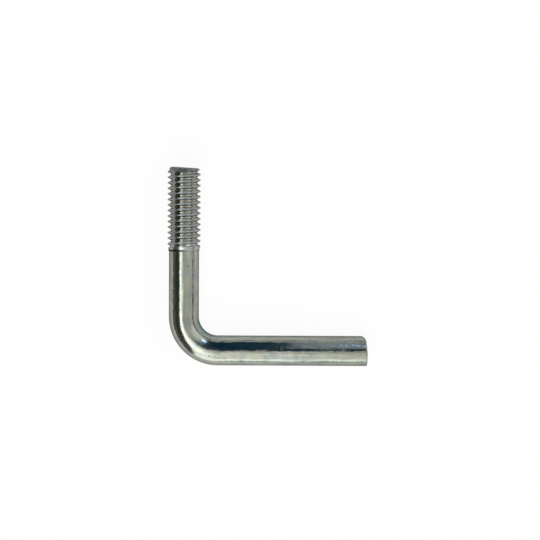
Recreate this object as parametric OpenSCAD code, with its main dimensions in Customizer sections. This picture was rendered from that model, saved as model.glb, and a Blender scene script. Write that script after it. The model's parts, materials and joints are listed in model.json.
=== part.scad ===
// L-shaped anchor bolt: one length of round steel rod, sheared off at both ends, bent through a
// right angle and thread-rolled at the end of one leg. The rod is about as thick as the thread's
// pitch diameter, so the rolled crests stand proud of it and the roots lie below its surface.
// The bolt lies on its side, with +Z up, the threaded leg along +Y and the plain leg along +X.
// The origin is on the surface that it lies on, under the middle of its bounding box.

/* [Rod] */
// Diameter of the plain rod
rod_d = 8.65; // [7.8:0.05:9.3]
// Threaded leg, from the outside of the plain leg to the tip
threaded_leg = 57.15; // [48:0.05:150]
// Plain leg, from the outside of the threaded leg to the free end
plain_leg = 57.15; // [24:0.05:150]
// Inside radius of the bend
bend_inside_r = 5.5; // [2:0.1:14]

/* [Thread] */
// Outside diameter of the thread
thread_d = 9.525; // [9.4:0.005:10.5]
// Distance from one turn to the next
pitch = 1.5875; // [1.25:0.0125:1.75]
// Length of the thread, from the tip to the end of its run-out
thread_length = 24.2; // [12:0.1:32]
// Length over which the last turns fade into the rod
runout_length = 2.2; // [1.6:0.1:6]
// Share of the crests' height at which the rolling die leaves an edge on the rod
die_edge_share = 0.25; // [0.1:0.05:0.5]

/* [Ends] */
// Chamfer at the tip of the thread, across the rod
tip_chamfer = 0.85; // [0.4:0.05:1.2]
// Length of the chamfer along the rod
tip_chamfer_length = 1.4; // [0.6:0.1:2]
// How far the tip's end face slants back from one side to the other
tip_setback = 0.45; // [0.1:0.05:0.8]
// How far the upper half of the free end's face slants back
free_end_setback = 0.5; // [0.1:0.05:1]
// Radius of the free end's corner where the shear blade pressed it over
blade_corner_r = 1.5; // [0.6:0.05:2]
// Rounding of the free end's rim
rim_r = 0.4; // [0.1:0.05:0.8]

/* [Hidden] */
$fn = 96;

rod_r = rod_d / 2;
bend_r = bend_inside_r + rod_r;
tip_y = threaded_leg - rod_r;
free_x = plain_leg - rod_r;

// Unified thread form: flanks at 30 degrees, a flat an eighth of the pitch wide at the crest
flank_angle = 30;
crest_r = thread_d / 2;
crest_flat = pitch / 8;
thread_depth = 0.6134 * pitch;
root_r = crest_r - thread_depth;
root_flat = pitch - crest_flat - 2 * thread_depth * tan(flank_angle);
thread_start = tip_y - thread_length;
die_edge_r = rod_r + die_edge_share * (crest_r - rod_r);

// The groove's section turns in straight steps and reaches a little past the blank's surface
turn_steps = 36;
groove_overreach = pitch / 20;
groove_r = crest_r + groove_overreach;
groove_mouth = root_flat + 2 * (thread_depth + groove_overreach) * tan(flank_angle);
// Where around the rod the groove runs out, from the plain leg's side by way of the underside
groove_end_angle = 246;

// The pressed-over corner meets the rod's surface and its end face at this slight angle
blade_corner_angle = 14;
blade_corner_reach = blade_corner_r * cos(blade_corner_angle);

// A thinner core of each straight leg reaches into the bend, so that the two fuse
core_r = 0.8 * rod_r;
core_start = bend_r - 0.1 * rod_d;

// A cut this long reaches right across either leg
across = 2 * thread_d;

function cylindrical(r, angle, z) = [r * cos(angle), r * sin(angle), z];

// How far the groove has risen out of the rod at a height above the thread's start
function groove_rise(height) =
    (rod_r + groove_overreach - root_r) * max(0, 1 - height / runout_length);

// Four corners of the groove's section at an angle along the helix, counted from its run-out
function groove_section(angle) =
    let (
        height = pitch * angle / 360,
        rise = groove_rise(height),
        z = thread_start + height,
        around = groove_end_angle + angle
    )
    [
        cylindrical(groove_r + rise, around, z - groove_mouth / 2),
        cylindrical(groove_r + rise, around, z + groove_mouth / 2),
        cylindrical(root_r + rise, around, z + root_flat / 2),
        cylindrical(root_r + rise, around, z - root_flat / 2)
    ];

// Right-hand helical groove along +Z, from its run-out in the rod to past the tip
module thread_groove() {
    steps = ceil(turn_steps * (thread_length / pitch + 1));
    sections = [for (i = [0:steps]) groove_section(360 * i / turn_steps)];
    corners = len(sections[0]);
    sides = [
        for (i = [0:steps - 1], j = [0:corners - 1])
            let (
                here = corners * i + j,
                beside = corners * i + (j + 1) % corners
            )
            each [
                [here, beside, beside + corners],
                [here, beside + corners, here + corners]
            ]
    ];
    first_end = [for (j = [corners - 1:-1:0]) j];
    last_end = [for (j = [0:corners - 1]) corners * steps + j];
    polyhedron(
        points = [for (section = sections) each section],
        faces = concat(sides, [first_end, last_end])
    );
}

// What shearing takes off an end face at x = 0, from a place across it to its +Y side
module sheared_slant(setback, start_y) {
    slope = setback / (rod_r - start_y);
    linear_extrude(height = across, center = true)
        polygon([
            [0, start_y],
            [-slope * (across - start_y), across],
            [across, across],
            [across, start_y]
        ]);
}

// What the shear blade presses away at the corner of a slanted half
module pressed_corner(setback) {
    centre_y = rod_r - blade_corner_reach;
    face_x = -setback * centre_y / rod_r;
    translate([face_x - blade_corner_reach, centre_y, 0])
        linear_extrude(height = across, center = true)
            difference() {
                square(across);
                circle(blade_corner_r);
            }
}

// Straight threaded leg along +Z: rod, run-out, thread and chamfer are one revolved blank
module threaded_leg() {
    difference() {
        rotate_extrude()
            polygon([
                [0, core_start],
                [core_r, core_start],
                [rod_r, bend_r],
                [rod_r, thread_start],
                [die_edge_r, thread_start],
                [crest_r, thread_start + runout_length],
                [crest_r, tip_y - tip_chamfer_length],
                [crest_r - tip_chamfer, tip_y],
                [0, tip_y]
            ]);
        thread_groove();
        translate([0, 0, tip_y])
            rotate([-90, -90, 0])
                sheared_slant(tip_setback, tip_chamfer - crest_r);
    }
}

module bend() {
    translate([bend_r, bend_r, 0])
        rotate_extrude(angle = 90, start = 180)
            translate([bend_r, 0])
                circle(rod_r);
}

// Straight plain leg along +X, with its free end sheared from the side of the threaded leg
module plain_leg() {
    difference() {
        rotate([0, 90, 0])
            rotate_extrude() {
                polygon([
                    [0, core_start],
                    [core_r, core_start],
                    [rod_r, bend_r],
                    [rod_r, free_x - rim_r],
                    [rod_r - rim_r, free_x - rim_r],
                    [rod_r - rim_r, free_x],
                    [0, free_x]
                ]);
                translate([rod_r - rim_r, free_x - rim_r])
                    circle(rim_r);
            }
        translate([free_x, 0, 0]) {
            sheared_slant(free_end_setback, 0);
            pressed_corner(free_end_setback);
        }
    }
}

module anchor_bolt() {
    color("silver")
        translate([-(free_x - crest_r) / 2, -(tip_y - rod_r) / 2, crest_r]) {
            rotate([-90, 0, 0])
                threaded_leg();
            bend();
            plain_leg();
        }
}

anchor_bolt();
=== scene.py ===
import json
import math

import bpy
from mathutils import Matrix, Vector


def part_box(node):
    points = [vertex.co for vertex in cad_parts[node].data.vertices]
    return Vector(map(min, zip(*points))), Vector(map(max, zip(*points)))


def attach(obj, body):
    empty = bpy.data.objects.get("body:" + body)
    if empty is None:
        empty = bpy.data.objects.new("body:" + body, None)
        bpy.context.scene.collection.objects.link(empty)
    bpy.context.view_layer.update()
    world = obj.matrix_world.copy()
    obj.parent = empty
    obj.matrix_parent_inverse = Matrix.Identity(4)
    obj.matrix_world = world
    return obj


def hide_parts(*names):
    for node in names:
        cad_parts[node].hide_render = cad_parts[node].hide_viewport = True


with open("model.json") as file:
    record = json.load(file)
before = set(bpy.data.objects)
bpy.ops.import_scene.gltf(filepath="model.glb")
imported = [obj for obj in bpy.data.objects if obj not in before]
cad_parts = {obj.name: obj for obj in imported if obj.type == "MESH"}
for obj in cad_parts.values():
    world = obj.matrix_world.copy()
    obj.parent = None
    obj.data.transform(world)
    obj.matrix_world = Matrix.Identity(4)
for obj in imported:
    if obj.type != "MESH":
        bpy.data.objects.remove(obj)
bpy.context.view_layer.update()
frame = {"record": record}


# --- Anchor bolt ---------------------------------------------------------------------------
# One length of cold-drawn steel rod, sheared off at both ends, bent to a right angle on a former
# and thread-rolled at the end of one leg. Rolling raises the crests above the rod, and the whole
# bolt is then barrel-plated with bright zinc.

MM = 0.001
mounts = {mount["name"]: mount for mount in frame["record"]["mounts"]}
thread_mount = mounts["thread"]
leg_mount = mounts["plain_leg"]
threaded_axis_x, tip_y = thread_mount["pos_m"][:2]
plain_axis_y, axis_z = leg_mount["pos_m"][1:]

rod_r = leg_mount["dims"]["r_mm"] * MM
bend_inside_r = 5.5 * MM
bend_r = bend_inside_r + rod_r

# Unified thread form: flanks at 30 degrees, and a flat an eighth of the pitch wide at the crest
pitch = 1.5875 * MM
crest_r = thread_mount["dims"]["r_mm"] * MM
crest_flat = pitch / 8
thread_depth = 0.6134 * pitch
flank_slope = 1 / math.tan(math.radians(30))
root_flat = pitch - crest_flat - 2 * thread_depth / flank_slope
thread_length = thread_mount["dims"]["length_mm"] * MM
runout = 2.2 * MM
die_edge_share = 0.25
die_edge_r = rod_r + die_edge_share * (crest_r - rod_r)

# The sheared ends. The tip's slant is measured across the rod, and its face is narrower
tip_chamfer, tip_chamfer_length = 0.85 * MM, 1.4 * MM
tip_r = crest_r - tip_chamfer
slant_across_rod = 0.45 * MM
tip_setback = slant_across_rod * 2 * tip_r / (rod_r + tip_r)
free_end_setback = 0.5 * MM
blade_corner_r = 1.5 * MM
blade_corner_angle = math.radians(14)
rim_r = 0.4 * MM

# Lengths along the rod, from the free end round the bend to the tip
free_end_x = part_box("anchor_bolt")[1].x
bend_start = free_end_x - threaded_axis_x - bend_r
bend_end = bend_start + bend_r * math.pi / 2
rod_length = bend_end + tip_y - plain_axis_y - bend_r
thread_start = rod_length - thread_length


def linear(hex_colour):
    channels = [int(hex_colour[i : i + 2], 16) / 255 for i in (1, 3, 5)]
    return [c / 12.92 if c <= 0.04045 else ((c + 0.055) / 1.055) ** 2.4 for c in channels] + [1]


def add(tree, kind, inputs=None, stops=(), **settings):
    node = tree.nodes.new(kind)
    for name, value in settings.items():
        setattr(node, name, value)
    for key, value in (inputs or {}).items():
        if isinstance(value, bpy.types.Node):
            value = value.outputs[0]
        if isinstance(value, bpy.types.NodeSocket):
            tree.links.new(value, node.inputs[key])
        else:
            node.inputs[key].default_value = value
    # A colour ramp starts with two stops
    for position, _ in stops[2:]:
        node.color_ramp.elements.new(position)
    for index, (position, colour) in enumerate(stops):
        node.color_ramp.elements[index].position = position
        node.color_ramp.elements[index].color = linear(colour)
    return node


# Bright zinc plating with a clear passivation. It is a mirror that fine crystals and barrel
# knocks have dulled a little, and the thin film on it gives faint blue, straw and rose tints.
zinc = bpy.data.materials.new("zinc_plated_steel")
zinc.use_nodes = True
nodes = zinc.node_tree
nodes.nodes.clear()
place = add(nodes, "ShaderNodeTexCoord").outputs["Object"]
straightened = add(nodes, "ShaderNodeAttribute", attribute_name="straightened").outputs["Vector"]
rolled, groove, die_line, sheared = [
    add(nodes, "ShaderNodeAttribute", attribute_name=mark).outputs["Fac"]
    for mark in ("rolled", "groove", "die_line", "sheared")
]
on_rod = add(nodes, "ShaderNodeSeparateXYZ", {0: straightened}).outputs
from_free_end, to_outside = on_rod["X"], on_rod["Y"]

# Patterns that lie along the rod, by the length and width of what they draw. The grain is drawn
# far coarser than zinc's crystals are, so that it shows
along_rod = {}
for pattern, length, width, detail in (
    ("streaks", 9 * MM, 0.7 * MM, 2.0),
    ("grain", 2.2 * MM, 0.8 * MM, 3.0),
    ("knocks", 0.65 * MM, 0.45 * MM, 1.0),
):
    stretched = add(
        nodes,
        "ShaderNodeVectorMath",
        {0: straightened, 1: (1 / length, 1 / width, 1 / width)},
        operation="MULTIPLY",
    )
    along_rod[pattern] = add(
        nodes, "ShaderNodeTexNoise", {"Vector": stretched, "Scale": 1.0, "Detail": detail}
    )

# The film's tints lie in patches and in streaks along the drawn rod, and the plating is drawn
# darker towards the free end
tint_patch = 3 * MM
tint_noise = add(
    nodes,
    "ShaderNodeTexNoise",
    {"Vector": place, "Scale": 1 / tint_patch, "Detail": 3.0, "Roughness": 0.6},
)
tint = add(
    nodes,
    "ShaderNodeValToRGB",
    {"Fac": tint_noise},
    stops=[(0.32, "#979C9E"), (0.46, "#A1A59F"), (0.58, "#A8A99E"), (0.70, "#ADA8A6")],
)
dark_streak, pale_streak = 0.86, 1.12
streak_shade = add(
    nodes,
    "ShaderNodeMapRange",
    {
        "Value": along_rod["streaks"],
        "From Min": 0.35,
        "From Max": 0.65,
        "To Min": dark_streak,
        "To Max": pale_streak,
    },
)
# The plating's colour is darkened towards the free end
darkened_length, free_end_tone = 30 * MM, 0.85
free_end_darkening = add(
    nodes,
    "ShaderNodeMapRange",
    {"Value": from_free_end, "From Min": 0.0, "From Max": darkened_length, "To Min": free_end_tone},
)
shade = add(nodes, "ShaderNodeMath", {0: streak_shade, 1: free_end_darkening}, operation="MULTIPLY")
tint = add(nodes, "ShaderNodeVectorMath", {0: tint, "Scale": shade}, operation="SCALE")

# A bluish stain in the film lies along the inside of the bend
bend_middle, half_bend = (bend_start + bend_end) / 2, (bend_end - bend_start) / 2
stain_reach, stain_fade = half_bend + 1 * MM, 4 * MM
stain_edge, stain_middle = -0.78 * rod_r, -0.96 * rod_r
from_bend = add(nodes, "ShaderNodeMath", {0: from_free_end, 1: bend_middle}, operation="SUBTRACT")
from_bend = add(nodes, "ShaderNodeMath", {0: from_bend}, operation="ABSOLUTE")
in_bend = add(
    nodes,
    "ShaderNodeMapRange",
    {"Value": from_bend, "From Min": stain_reach, "From Max": stain_reach - stain_fade},
)
inside = add(
    nodes,
    "ShaderNodeMapRange",
    {"Value": to_outside, "From Min": stain_edge, "From Max": stain_middle},
)
stain = add(nodes, "ShaderNodeMath", {0: in_bend, 1: inside}, operation="MULTIPLY")

# The rolled thread is bluer on its crests and painted palest on its flanks, to lift the shade in
# the groove. A painted shadow line lies at the die's edge, torn steel is a flat grey, and there
# are a few dark pinholes
# The flanks are painted paler, which lifts the shade that falls between them in the groove
thread_tint_and_flank_light = add(
    nodes,
    "ShaderNodeValToRGB",
    {"Fac": groove},
    stops=[(0.0, "#A8ADAF"), (0.5, "#DADDDB"), (1.0, "#B2B0A8")],
)
# A near-black painted shadow line along the die's edge
die_shadow_cover = 0.85
die_shadow = add(nodes, "ShaderNodeMath", {0: die_line, 1: die_shadow_cover}, operation="MULTIPLY")
pinhole_spacing, pinhole_cover = 0.9 * MM, 0.7
pinhole_noise = add(
    nodes, "ShaderNodeTexNoise", {"Vector": place, "Scale": 1 / pinhole_spacing, "Detail": 1.0}
)
pinholes = add(
    nodes,
    "ShaderNodeMapRange",
    {"Value": pinhole_noise, "From Min": 0.74, "From Max": 0.79, "To Max": pinhole_cover},
)
for cover, colour in (
    (stain, linear("#708A8C")),
    (rolled, thread_tint_and_flank_light),
    (die_shadow, linear("#1C1A18")),
    (sheared, linear("#8D8F8F")),
    (pinholes, linear("#3A3833")),
):
    tint = add(nodes, "ShaderNodeMixRGB", {"Fac": cover, "Color1": tint, "Color2": colour})

# Drawing leaves streaks in relief, plating leaves grain, the barrel leaves knocks, and shearing
# leaves torn steel. Grain and knocks are heaviest on the plain leg
threaded_leg_wear = 0.5
wear = add(
    nodes,
    "ShaderNodeMapRange",
    {
        "Value": from_free_end,
        "From Min": bend_end,
        "From Max": bend_start / 2,
        "To Min": threaded_leg_wear,
    },
)
rolled_grain = 0.25
grain = add(nodes, "ShaderNodeMath", {0: along_rod["grain"], 1: wear}, operation="MULTIPLY")
grain = add(
    nodes, "ShaderNodeMapRange", {"Value": rolled, "To Min": grain, "To Max": rolled_grain}
)
knocks = add(
    nodes,
    "ShaderNodeMapRange",
    {"Value": along_rod["knocks"], "From Min": 0.56, "From Max": 0.74},
    interpolation_type="SMOOTHSTEP",
)
knocks = add(nodes, "ShaderNodeMath", {0: knocks, 1: wear}, operation="MULTIPLY")
knocks = add(nodes, "ShaderNodeMapRange", {"Value": rolled, "To Min": knocks, "To Max": 0.0})
noise_middle = 0.5
tear = add(
    nodes, "ShaderNodeMath", {0: along_rod["grain"], 1: noise_middle}, operation="SUBTRACT"
)
tear = add(nodes, "ShaderNodeMath", {0: tear, 1: sheared}, operation="MULTIPLY")
relief = {}
for height, depth in (
    (along_rod["streaks"], 0.02 * MM),
    (grain, 0.06 * MM),
    (knocks, 0.011 * MM),
    (tear, 0.4 * MM),
):
    bump = add(
        nodes, "ShaderNodeBump", {"Strength": 1.0, "Distance": depth, "Height": height, **relief}
    )
    relief = {"Normal": bump}

# Grain and rolling dull the mirror, the groove's floor keeps more of it, and torn steel the least
bright_zinc, dull_zinc = 0.09, 0.21
roughness = add(
    nodes,
    "ShaderNodeMapRange",
    {"Value": along_rod["grain"], "To Min": bright_zinc, "To Max": dull_zinc},
)
for share, dulling in ((rolled, 0.09), (groove, -0.14), (sheared, 0.18)):
    roughness = add(
        nodes, "ShaderNodeMath", {0: share, 1: dulling, 2: roughness}, operation="MULTIPLY_ADD"
    )
plating = add(
    nodes,
    "ShaderNodeBsdfPrincipled",
    {
        "Base Color": tint,
        "Metallic": 1.0,
        "Roughness": roughness,
        "Specular Tint": linear("#A8A8A4"),
        **relief,
    },
)
add(nodes, "ShaderNodeOutputMaterial", {"Surface": plating})

# Each row of a straight cylinder is laid along the rod, and each point is set out from its axis
end_rows, rod_rows, thread_rows = 40, 150, 430
rows = end_rows + rod_rows + thread_rows
points_around, face_rings = 112, 10
end_zone = 2.4 * MM
thread_zone = thread_start - 0.6 * MM

bolt_tree = bpy.data.node_groups.new("rolled_and_bent_rod", "GeometryNodeTree")
bolt_tree.interface.new_socket("Bolt", in_out="OUTPUT", socket_type="NodeSocketGeometry")
tree_sizes = {
    "Rod Radius": rod_r,
    "Crest Radius": crest_r,
    "Bend Radius": bend_r,
    "Bend Start": bend_start,
    "Bend End": bend_end,
    "Rod Length": rod_length,
    "Thread Start": thread_start,
    "Run-out Top": thread_start + runout,
    "Die Edge Radius": die_edge_r,
    "Pitch": pitch,
    "Root Radius": crest_r - thread_depth,
    "Half Root Flat": root_flat / 2,
    "Tip Radius": tip_r,
    "Chamfer Slope": tip_chamfer / tip_chamfer_length,
    "Tip Setback": tip_setback,
    "Free End Setback": free_end_setback,
    "Blade Corner": blade_corner_r,
    "Rim Radius": rim_r,
}
tree_inputs = {
    name: bolt_tree.interface.new_socket(name, in_out="INPUT", socket_type="NodeSocketFloat")
    for name in tree_sizes
}
given = add(bolt_tree, "NodeGroupInput").outputs

blank_rod = add(
    bolt_tree,
    "GeometryNodeMeshCylinder",
    {
        "Vertices": points_around,
        "Side Segments": rows,
        "Fill Segments": face_rings,
        "Radius": 1.0,
        "Depth": float(rows),
    },
    fill_type="TRIANGLE_FAN",
)
point = add(bolt_tree, "GeometryNodeInputPosition")
axes = add(bolt_tree, "ShaderNodeSeparateXYZ", {0: point}).outputs
row = add(bolt_tree, "ShaderNodeMath", {0: axes["Z"], 1: rows / 2}, operation="ADD")
turn = add(bolt_tree, "ShaderNodeMath", {0: axes["Y"], 1: axes["X"]}, operation="ARCTAN2")
turn_cosine = add(bolt_tree, "ShaderNodeMath", {0: turn}, operation="COSINE")
turn_sine = add(bolt_tree, "ShaderNodeMath", {0: turn}, operation="SINE")
flat_point = add(bolt_tree, "ShaderNodeCombineXYZ", {"X": axes["X"], "Y": axes["Y"]})
from_axis = add(bolt_tree, "ShaderNodeVectorMath", {0: flat_point}, operation="LENGTH")
from_axis = from_axis.outputs["Value"]

# How far along the rod a row lies: rows are close at the free end and in the thread
along = 0.0
first_row = 0
for zone_rows, zone_length in (
    (end_rows, end_zone),
    (rod_rows, thread_zone - end_zone),
    (thread_rows, rod_length - thread_zone),
):
    last_row = first_row + zone_rows
    along_zone = add(
        bolt_tree,
        "ShaderNodeMapRange",
        {
            "Value": row,
            "From Min": float(first_row),
            "From Max": float(last_row),
            "To Max": zone_length,
        },
    )
    along = add(bolt_tree, "ShaderNodeMath", {0: along, 1: along_zone}, operation="ADD")
    first_row = last_row


# How far a rounded edge has dropped at a distance from where its rounding starts
def arc_drop(radius, distance):
    square = add(bolt_tree, "ShaderNodeMath", {0: radius, 1: radius}, operation="MULTIPLY")
    taken = add(bolt_tree, "ShaderNodeMath", {0: distance, 1: distance}, operation="MULTIPLY")
    left_over = add(bolt_tree, "ShaderNodeMath", {0: square, 1: taken}, operation="SUBTRACT")
    height = add(bolt_tree, "ShaderNodeMath", {0: left_over}, operation="SQRT")
    return add(bolt_tree, "ShaderNodeMath", {0: radius, 1: height}, operation="SUBTRACT")


# The sheared ends: both rims are rounded, the free end's inner half slants back to a corner that
# the blade has pressed over, and the tip's face slants from one side to the other
to_end = add(bolt_tree, "ShaderNodeMath", {0: given["Rod Length"], 1: along}, operation="SUBTRACT")
to_face = add(bolt_tree, "ShaderNodeMath", {0: along, 1: to_end}, operation="MINIMUM")
in_rim = add(
    bolt_tree, "ShaderNodeMath", {0: given["Rim Radius"], 1: to_face}, operation="SUBTRACT"
)
in_rim = add(bolt_tree, "ShaderNodeMath", {0: in_rim, 1: 0.0}, operation="MAXIMUM")
rim_drop = arc_drop(given["Rim Radius"], in_rim)
inner_side = add(
    bolt_tree, "ShaderNodeMath", {0: turn_cosine, 1: from_axis}, operation="MULTIPLY"
)
inner_side = add(bolt_tree, "ShaderNodeMath", {0: inner_side, 1: -1.0}, operation="MULTIPLY")
end_r = add(
    bolt_tree, "ShaderNodeMath", {0: given["Rod Radius"], 1: rim_drop}, operation="SUBTRACT"
)
inward = add(bolt_tree, "ShaderNodeMath", {0: inner_side, 1: end_r}, operation="MULTIPLY")
blade_reach = add(
    bolt_tree,
    "ShaderNodeMath",
    {0: given["Blade Corner"], 1: math.cos(blade_corner_angle)},
    operation="MULTIPLY",
)
blade_foot = add(
    bolt_tree, "ShaderNodeMath", {0: given["Rod Radius"], 1: blade_reach}, operation="SUBTRACT"
)
in_blade_corner = add(
    bolt_tree,
    "ShaderNodeMapRange",
    {
        "Value": inward,
        "From Min": blade_foot,
        "From Max": given["Rod Radius"],
        "To Max": blade_reach,
    },
)
blade_back = arc_drop(given["Blade Corner"], in_blade_corner)
free_slant = add(
    bolt_tree,
    "ShaderNodeMapRange",
    {
        "Value": inward,
        "From Min": 0.0,
        "From Max": given["Rod Radius"],
        "To Max": given["Free End Setback"],
    },
)
free_back = add(bolt_tree, "ShaderNodeMath", {0: free_slant, 1: blade_back}, operation="ADD")
shear_reach = 4 * MM
free_fade = add(
    bolt_tree,
    "ShaderNodeMapRange",
    {"Value": along, "From Min": 0.0, "From Max": shear_reach, "To Min": 1.0, "To Max": 0.0},
)
tip_back = add(
    bolt_tree,
    "ShaderNodeMapRange",
    {"Value": inner_side, "From Min": -1.0, "From Max": 1.0, "To Max": given["Tip Setback"]},
)
tip_fade = add(
    bolt_tree,
    "ShaderNodeMapRange",
    {"Value": to_end, "From Min": 0.0, "From Max": shear_reach, "To Min": -1.0, "To Max": 0.0},
)
for back, fade in ((free_back, free_fade), (tip_back, tip_fade)):
    along = add(
        bolt_tree, "ShaderNodeMath", {0: back, 1: fade, 2: along}, operation="MULTIPLY_ADD"
    )

# The blank: the rod, the edge that the rolling die left, the crests and the tip's chamfer
cone = add(
    bolt_tree,
    "ShaderNodeMapRange",
    {
        "Value": along,
        "From Min": given["Thread Start"],
        "From Max": given["Run-out Top"],
        "To Min": given["Die Edge Radius"],
        "To Max": given["Crest Radius"],
    },
)
die_edge_width = 0.06 * MM
die_edge_foot = add(
    bolt_tree,
    "ShaderNodeMath",
    {0: given["Thread Start"], 1: die_edge_width},
    operation="SUBTRACT",
)
blank = add(
    bolt_tree,
    "ShaderNodeMapRange",
    {
        "Value": along,
        "From Min": die_edge_foot,
        "From Max": given["Thread Start"],
        "To Min": given["Rod Radius"],
        "To Max": cone,
    },
)
to_tip = add(bolt_tree, "ShaderNodeMath", {0: given["Rod Length"], 1: along}, operation="SUBTRACT")
chamfer = add(
    bolt_tree,
    "ShaderNodeMath",
    {0: to_tip, 1: given["Chamfer Slope"], 2: given["Tip Radius"]},
    operation="MULTIPLY_ADD",
)
blank = add(bolt_tree, "ShaderNodeMath", {0: blank, 1: chamfer}, operation="MINIMUM")
blank = add(bolt_tree, "ShaderNodeMath", {0: blank, 1: rim_drop}, operation="SUBTRACT")

# The groove: a right-hand helix whose floor climbs out of the rod at the run-out and grows
# shallow in the last turn at the tip
groove_end_turn = math.radians(-66)
turns = add(bolt_tree, "ShaderNodeMath", {0: turn, 1: groove_end_turn}, operation="ADD")
turns = add(bolt_tree, "ShaderNodeMath", {0: turns, 1: math.tau}, operation="DIVIDE")
pitches = add(
    bolt_tree, "ShaderNodeMath", {0: along, 1: given["Thread Start"]}, operation="SUBTRACT"
)
pitches = add(bolt_tree, "ShaderNodeMath", {0: pitches, 1: given["Pitch"]}, operation="DIVIDE")
phase = add(bolt_tree, "ShaderNodeMath", {0: pitches, 1: turns}, operation="SUBTRACT")
half_turn = 0.5
off_groove = add(bolt_tree, "ShaderNodeMath", {0: phase, 1: half_turn}, operation="PINGPONG")
off_groove = add(
    bolt_tree, "ShaderNodeMath", {0: off_groove, 1: given["Pitch"]}, operation="MULTIPLY"
)
off_flat = add(
    bolt_tree, "ShaderNodeMath", {0: off_groove, 1: given["Half Root Flat"]}, operation="SUBTRACT"
)
climb_past_rod = 0.2 * MM
floor_top = add(
    bolt_tree, "ShaderNodeMath", {0: given["Rod Radius"], 1: climb_past_rod}, operation="ADD"
)
groove_floor = add(
    bolt_tree,
    "ShaderNodeMapRange",
    {
        "Value": along,
        "From Min": given["Thread Start"],
        "From Max": given["Run-out Top"],
        "To Min": floor_top,
        "To Max": given["Root Radius"],
    },
)
tip_turn = 1.1 * MM
tip_floor = add(
    bolt_tree,
    "ShaderNodeMapRange",
    {
        "Value": to_tip,
        "From Min": 0.0,
        "From Max": tip_turn,
        "To Min": given["Crest Radius"],
        "To Max": given["Root Radius"],
    },
)
groove_floor = add(
    bolt_tree, "ShaderNodeMath", {0: groove_floor, 1: tip_floor}, operation="MAXIMUM"
)
flank = add(
    bolt_tree,
    "ShaderNodeMath",
    {0: off_flat, 1: flank_slope, 2: groove_floor},
    operation="MULTIPLY_ADD",
)
root_round, crest_round = 0.1 * MM, 0.18 * MM
groove_r = add(
    bolt_tree,
    "ShaderNodeMath",
    {0: groove_floor, 1: flank, 2: root_round},
    operation="SMOOTH_MAX",
)
surface_r = add(
    bolt_tree,
    "ShaderNodeMath",
    {0: blank, 1: groove_r, 2: crest_round},
    operation="SMOOTH_MIN",
)
radius = add(bolt_tree, "ShaderNodeMath", {0: surface_r, 1: from_axis}, operation="MULTIPLY")
outward = add(bolt_tree, "ShaderNodeMath", {0: radius, 1: turn_cosine}, operation="MULTIPLY")
upward = add(bolt_tree, "ShaderNodeMath", {0: radius, 1: turn_sine}, operation="MULTIPLY")
straight_point = add(
    bolt_tree, "ShaderNodeCombineXYZ", {"X": along, "Y": outward, "Z": upward}
)

# The rod's path: along the plain leg, round the bend and up the threaded leg
swing = add(
    bolt_tree,
    "ShaderNodeMapRange",
    {
        "Value": along,
        "From Min": given["Bend Start"],
        "From Max": given["Bend End"],
        "To Max": math.pi / 2,
    },
)
swing_r = add(
    bolt_tree, "ShaderNodeMath", {0: given["Bend Radius"], 1: outward}, operation="ADD"
)
swing_sine = add(bolt_tree, "ShaderNodeMath", {0: swing}, operation="SINE")
swing_cosine = add(bolt_tree, "ShaderNodeMath", {0: swing}, operation="COSINE")
left_of_bend = add(
    bolt_tree, "ShaderNodeMath", {0: swing_sine, 1: swing_r}, operation="MULTIPLY"
)
below_bend = add(
    bolt_tree, "ShaderNodeMath", {0: swing_cosine, 1: swing_r}, operation="MULTIPLY"
)
plain_run = add(
    bolt_tree,
    "ShaderNodeMapRange",
    {
        "Value": along,
        "From Min": 0.0,
        "From Max": given["Bend Start"],
        "To Min": given["Bend Start"],
        "To Max": 0.0,
    },
)
threaded_run = add(
    bolt_tree, "ShaderNodeMath", {0: along, 1: given["Bend End"]}, operation="SUBTRACT"
)
threaded_run = add(bolt_tree, "ShaderNodeMath", {0: threaded_run, 1: 0.0}, operation="MAXIMUM")
bolt_x = add(bolt_tree, "ShaderNodeMath", {0: plain_run, 1: left_of_bend}, operation="SUBTRACT")
bolt_y = add(bolt_tree, "ShaderNodeMath", {0: threaded_run, 1: below_bend}, operation="SUBTRACT")
bolt_point = add(bolt_tree, "ShaderNodeCombineXYZ", {"X": bolt_x, "Y": bolt_y, "Z": upward})
bend_centre = (threaded_axis_x + bend_r, plain_axis_y + bend_r, axis_z)
bolt_point = add(
    bolt_tree, "ShaderNodeVectorMath", {0: bolt_point, 1: bend_centre}, operation="ADD"
)

# Marks for the plating: how deep in the groove a point lies, what the dies have rolled, a painted
# shadow line at their edge, mostly on the outer side, and the torn steel of the faces and the
# tip's chamfer
groove_share = add(
    bolt_tree,
    "ShaderNodeMapRange",
    {
        "Value": surface_r,
        "From Min": given["Crest Radius"],
        "From Max": given["Root Radius"],
    },
)
in_thread = add(
    bolt_tree,
    "ShaderNodeMapRange",
    {
        "Value": along,
        "From Min": given["Thread Start"],
        "From Max": given["Run-out Top"],
    },
)
groove_share = add(
    bolt_tree, "ShaderNodeMath", {0: groove_share, 1: in_thread}, operation="MULTIPLY"
)
rolled_share = add(
    bolt_tree,
    "ShaderNodeMapRange",
    {"Value": along, "From Min": die_edge_foot, "From Max": given["Thread Start"]},
)
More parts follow.
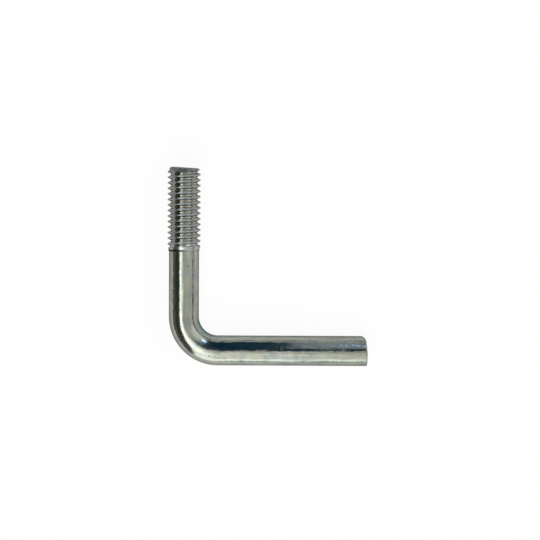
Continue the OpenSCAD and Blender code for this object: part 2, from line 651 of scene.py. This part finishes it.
# Where the painted shadow line at the die's edge lies, darker on the outer side than the inner
die_shadow_offset, die_shadow_reach = 0.2 * MM, 0.3 * MM
die_shadow_middle = add(
    bolt_tree, "ShaderNodeMath", {0: given["Thread Start"], 1: die_shadow_offset}, operation="ADD"
)
die_shadow_line_share = add(
    bolt_tree, "ShaderNodeMath", {0: along, 1: die_shadow_middle, 2: die_shadow_reach}, operation="COMPARE"
)
inner_shadow = 0.2
shadowed_side = add(
    bolt_tree,
    "ShaderNodeMapRange",
    {"Value": inner_side, "From Min": -0.1, "From Max": 0.25, "To Min": 1.0, "To Max": inner_shadow},
)
die_shadow_line_share = add(
    bolt_tree, "ShaderNodeMath", {0: die_shadow_line_share, 1: shadowed_side}, operation="MULTIPLY"
)
face_limit = 0.999
sheared_face = add(
    bolt_tree, "ShaderNodeMath", {0: from_axis, 1: face_limit}, operation="LESS_THAN"
)
torn_length = tip_chamfer_length + 0.2 * MM
torn_chamfer = add(
    bolt_tree,
    "ShaderNodeMapRange",
    {
        "Value": to_tip,
        "From Min": tip_turn,
        "From Max": torn_length,
        "To Min": 1.0,
        "To Max": 0.0,
    },
)
sheared_share = add(
    bolt_tree, "ShaderNodeMath", {0: sheared_face, 1: torn_chamfer}, operation="MAXIMUM"
)
formed = blank_rod
for mark, share in (
    ("groove", groove_share),
    ("rolled", rolled_share),
    ("die_line", die_shadow_line_share),
    ("sheared", sheared_share),
):
    formed = add(
        bolt_tree,
        "GeometryNodeStoreNamedAttribute",
        {"Geometry": formed, "Name": mark, "Value": share},
    )
formed = add(
    bolt_tree,
    "GeometryNodeStoreNamedAttribute",
    {"Geometry": formed, "Name": "straightened", "Value": straight_point},
    data_type="FLOAT_VECTOR",
)
formed = add(
    bolt_tree, "GeometryNodeSetPosition", {"Geometry": formed, "Position": bolt_point}
)

# Faces meet smoothly, apart from the sharp edges of the ends and of the die
sharp_angle = math.radians(28)
edge_angle = add(bolt_tree, "GeometryNodeInputMeshEdgeAngle")
soft_edge = add(
    bolt_tree, "ShaderNodeMath", {0: edge_angle, 1: sharp_angle}, operation="LESS_THAN"
)
formed = add(
    bolt_tree, "GeometryNodeSetShadeSmooth", {"Geometry": formed, "Shade Smooth": True}
)
formed = add(
    bolt_tree,
    "GeometryNodeSetShadeSmooth",
    {"Geometry": formed, "Shade Smooth": soft_edge},
    domain="EDGE",
)
formed = add(bolt_tree, "GeometryNodeRealizeInstances", {"Geometry": formed})
formed = add(bolt_tree, "GeometryNodeSetMaterial", {"Geometry": formed, "Material": zinc})
add(bolt_tree, "NodeGroupOutput", {"Bolt": formed})

anchor_bolt = bpy.data.objects.new("anchor_bolt_plated", bpy.data.meshes.new("anchor_bolt_plated"))
bpy.context.scene.collection.objects.link(anchor_bolt)
forming = anchor_bolt.modifiers.new("forming", "NODES")
forming.node_group = bolt_tree
for name, size in tree_sizes.items():
    forming[tree_inputs[name].identifier] = size
evaluated = anchor_bolt.evaluated_get(bpy.context.evaluated_depsgraph_get())
bolt_mesh = bpy.data.meshes.new_from_object(evaluated)
anchor_bolt.modifiers.remove(forming)
anchor_bolt.data = bolt_mesh
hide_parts("anchor_bolt")
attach(anchor_bolt, "root")


# --- Floor ---------------------------------------------------------------------------------
# A wide sheet of plain white paper that the bolt lies on. It shows as white to the camera and
# keeps a faint shadow. The plating mirrors it less brightly, and a painted glow makes its
# near side brightest there.

paper = bpy.data.materials.new("white_paper")
paper.use_nodes = True
nodes = paper.node_tree
nodes.nodes.clear()
seen_white, far_mirrored, near_mirrored = 0.9, 0.5, 0.95
rays = add(nodes, "ShaderNodeLightPath").outputs
seen = add(
    nodes,
    "ShaderNodeMath",
    {0: rays["Is Camera Ray"], 1: rays["Is Transmission Ray"]},
    operation="MAXIMUM",
)
seen = add(nodes, "ShaderNodeMath", {0: seen, 1: seen_white}, operation="MULTIPLY")
on_paper = add(nodes, "ShaderNodeTexCoord").outputs["Object"]
on_paper = add(nodes, "ShaderNodeSeparateXYZ", {0: on_paper}).outputs
# A painted glow: in the plating the paper's near side is brightest, as if more light fell there
near_side_glow = add(
    nodes,
    "ShaderNodeMapRange",
    {
        "Value": on_paper["Y"],
        "From Min": plain_axis_y,
        "From Max": plain_axis_y - rod_r,
        "To Min": far_mirrored,
        "To Max": near_mirrored,
    },
)
mirrored = add(
    nodes, "ShaderNodeMath", {0: rays["Is Glossy Ray"], 1: near_side_glow}, operation="MULTIPLY"
)
whiteness = add(nodes, "ShaderNodeMath", {0: seen, 1: mirrored}, operation="MAXIMUM")
lit_paper = add(nodes, "ShaderNodeBsdfDiffuse", {"Color": linear("#F4F4F2")})
white_paper = add(nodes, "ShaderNodeEmission", {"Color": linear("#FFFFFF"), "Strength": 1.03})
paper_mix = add(nodes, "ShaderNodeMixShader", {0: whiteness, 1: lit_paper, 2: white_paper})
add(nodes, "ShaderNodeOutputMaterial", {"Surface": paper_mix})

half_floor = 2.0
floor_mesh = bpy.data.meshes.new("floor")
floor_mesh.from_pydata(
    [
        (-half_floor, -half_floor, 0),
        (half_floor, -half_floor, 0),
        (half_floor, half_floor, 0),
        (-half_floor, half_floor, 0),
    ],
    [],
    [(0, 1, 2, 3)],
)
floor_mesh.materials.append(paper)
floor = bpy.data.objects.new("floor", floor_mesh)
bpy.context.scene.collection.objects.link(floor)


# --- Light ---------------------------------------------------------------------------------
# A soft studio with pale grey walls: a wide window-like light fills the near left, a dark room
# lies on the far side and a dark cupboard stands on the left. A dim card and a small cool lamp
# hang beyond the plain leg.

room = bpy.data.worlds.new("studio")
bpy.context.scene.world = room
room.use_nodes = True
nodes = room.node_tree
nodes.nodes.clear()
direction = add(nodes, "ShaderNodeTexCoord").outputs["Generated"]
towards = add(nodes, "ShaderNodeSeparateXYZ", {0: direction}).outputs


def facing(azimuth):
    return (math.cos(math.radians(azimuth)), math.sin(math.radians(azimuth)), 0)


# The window is brightest high up on the left, and brighter again close to the floor
to_window = add(
    nodes, "ShaderNodeVectorMath", {0: direction, 1: facing(225)}, operation="DOT_PRODUCT"
).outputs["Value"]
window = add(
    nodes,
    "ShaderNodeMapRange",
    {"Value": to_window, "From Min": 0.0, "From Max": 0.32},
    interpolation_type="SMOOTHSTEP",
)
high_light = add(
    nodes,
    "ShaderNodeMapRange",
    {"Value": towards["Z"], "From Min": 0.4, "From Max": 0.75, "To Min": 1.4, "To Max": 3.0},
)
left_light = add(
    nodes,
    "ShaderNodeMapRange",
    {
        "Value": towards["X"],
        "From Min": 0.0,
        "From Max": -0.3,
        "To Min": 1.28,
        "To Max": high_light,
    },
)
low_light = add(
    nodes,
    "ShaderNodeMapRange",
    {"Value": towards["Z"], "From Min": 0.55, "From Max": 0.3, "To Max": 0.95},
)
window_light = add(nodes, "ShaderNodeMath", {0: left_light, 1: low_light}, operation="ADD")
wall_light = add(
    nodes, "ShaderNodeMapRange", {"Value": window, "To Min": 1.0, "To Max": window_light}
)
window_colour = add(
    nodes,
    "ShaderNodeMixRGB",
    {"Fac": low_light, "Color1": linear("#FAFCF4"), "Color2": linear("#F5FFF5")},
)

# The far side is dark above a low grey wall, and ends short of the right
far_half = add(
    nodes,
    "ShaderNodeMapRange",
    {"Value": towards["Y"], "From Min": -0.03, "From Max": 0.03},
    interpolation_type="SMOOTHSTEP",
)
from_right = add(
    nodes, "ShaderNodeVectorMath", {0: direction, 1: facing(155)}, operation="DOT_PRODUCT"
).outputs["Value"]
short_of_right = add(
    nodes,
    "ShaderNodeMapRange",
    {"Value": from_right, "From Min": -0.16, "From Max": 0.0},
    interpolation_type="SMOOTHSTEP",
)
above_low_wall = add(
    nodes,
    "ShaderNodeMapRange",
    {"Value": towards["Z"], "From Min": 0.22, "From Max": 0.30},
    interpolation_type="SMOOTHSTEP",
)
far_side = add(nodes, "ShaderNodeMath", {0: far_half, 1: short_of_right}, operation="MULTIPLY")
far_side = add(nodes, "ShaderNodeMath", {0: far_side, 1: above_low_wall}, operation="MULTIPLY")

# The dark cupboard on the left has a paler shelf low down in it
to_cupboard = add(
    nodes, "ShaderNodeVectorMath", {0: direction, 1: facing(178)}, operation="DOT_PRODUCT"
).outputs["Value"]
left = add(
    nodes,
    "ShaderNodeMapRange",
    {"Value": to_cupboard, "From Min": 0.45, "From Max": 0.52},
    interpolation_type="SMOOTHSTEP",
)
cupboard = add(
    nodes,
    "ShaderNodeValToRGB",
    {"Fac": towards["Z"]},
    stops=[(0.06, "#16120E"), (0.24, "#5F574F"), (0.42, "#313632"), (0.8, "#1E2422")],
)

# A dark gap runs between the walls and the floor, and rises to the right
gap_rise = 0.27
above_gap = add(
    nodes, "ShaderNodeVectorMath", {0: direction, 1: (-gap_rise, 0, 1)}, operation="DOT_PRODUCT"
).outputs["Value"]
gap_top = add(
    nodes,
    "ShaderNodeMapRange",
    {"Value": above_gap, "From Min": 0.10, "From Max": 0.05},
    interpolation_type="SMOOTHSTEP",
)
gap_foot = add(
    nodes,
    "ShaderNodeMapRange",
    {"Value": above_gap, "From Min": -0.11, "From Max": -0.06},
    interpolation_type="SMOOTHSTEP",
)
gap = add(nodes, "ShaderNodeMath", {0: gap_foot, 1: gap_top}, operation="MULTIPLY")

# What stands in front covers the walls, and the camera sees plain white behind the bolt
walls = linear("#E3E4DC")
for cover, colour in (
    (far_side, linear("#183D52")),
    (window, window_colour),
    (left, cupboard),
    (gap, linear("#4A4C47")),
):
    walls = add(nodes, "ShaderNodeMixRGB", {"Fac": cover, "Color1": walls, "Color2": colour})
rays = add(nodes, "ShaderNodeLightPath").outputs
surroundings = add(nodes, "ShaderNodeBackground", {"Color": walls, "Strength": wall_light})
backdrop = add(nodes, "ShaderNodeBackground", {"Color": linear("#FFFFFF"), "Strength": 1.0})
sky = add(
    nodes, "ShaderNodeMixShader", {0: rays["Is Camera Ray"], 1: surroundings, 2: backdrop}
)
add(nodes, "ShaderNodeOutputWorld", {"Surface": sky})

# A dim blue-grey card over the plain leg's free end, and a small cool lamp beyond it
card_light = bpy.data.lights.new("cool_card", "AREA")
card_light.shape = "RECTANGLE"
card_light.size = 62 * MM
card_light.size_y = 64 * MM
card_light.color = linear("#E8EEEE")[:3]
card_light.energy = 0.0068
card = bpy.data.objects.new("cool_card", card_light)
card.location = (38.5 * MM, 21.5 * MM, 47.5 * MM)
card.rotation_euler = (math.radians(-47), 0, 0)
lamp_light = bpy.data.lights.new("cool_lamp", "AREA")
lamp_light.size = 22 * MM
lamp_light.color = linear("#A8D2FF")[:3]
lamp_light.energy = 0.013
lamp = bpy.data.objects.new("cool_lamp", lamp_light)
lamp.location = (53 * MM, 100 * MM, 127 * MM)
lamp.rotation_euler = (-lamp.location).to_track_quat("-Z", "Y").to_euler()
for light in (card, lamp):
    light.visible_camera = False
    bpy.context.scene.collection.objects.link(light)


# --- Camera --------------------------------------------------------------------------------
# It looks almost straight down on the bolt from well above, with the threaded leg up the picture.
# Its frame is square, and the middle of the bolt falls a little left of and above its middle.

image_px = 540
px_per_mm = 3.477
bolt_middle_px = (268.05, 266.55)
sensor_mm = 36
distance = 600 * MM
tilt = math.radians(3)
roll = math.radians(0.27)
target_x = (image_px / 2 - bolt_middle_px[0]) / px_per_mm * MM
target_y = -(image_px / 2 - bolt_middle_px[1]) / px_per_mm * MM
camera_data = bpy.data.cameras.new("camera")
camera_data.sensor_width = sensor_mm
camera_data.lens = sensor_mm * distance / (image_px / px_per_mm * MM)
camera_data.clip_start = 0.01
camera_data.clip_end = 10
camera = bpy.data.objects.new("camera", camera_data)
bpy.context.scene.collection.objects.link(camera)
camera.location = (
    target_x,
    target_y + distance * math.sin(tilt),
    axis_z + distance * math.cos(tilt),
)
camera.rotation_euler = (-tilt, 0, roll)
bpy.context.scene.camera = camera
bpy.context.scene.view_settings.view_transform = "Standard"
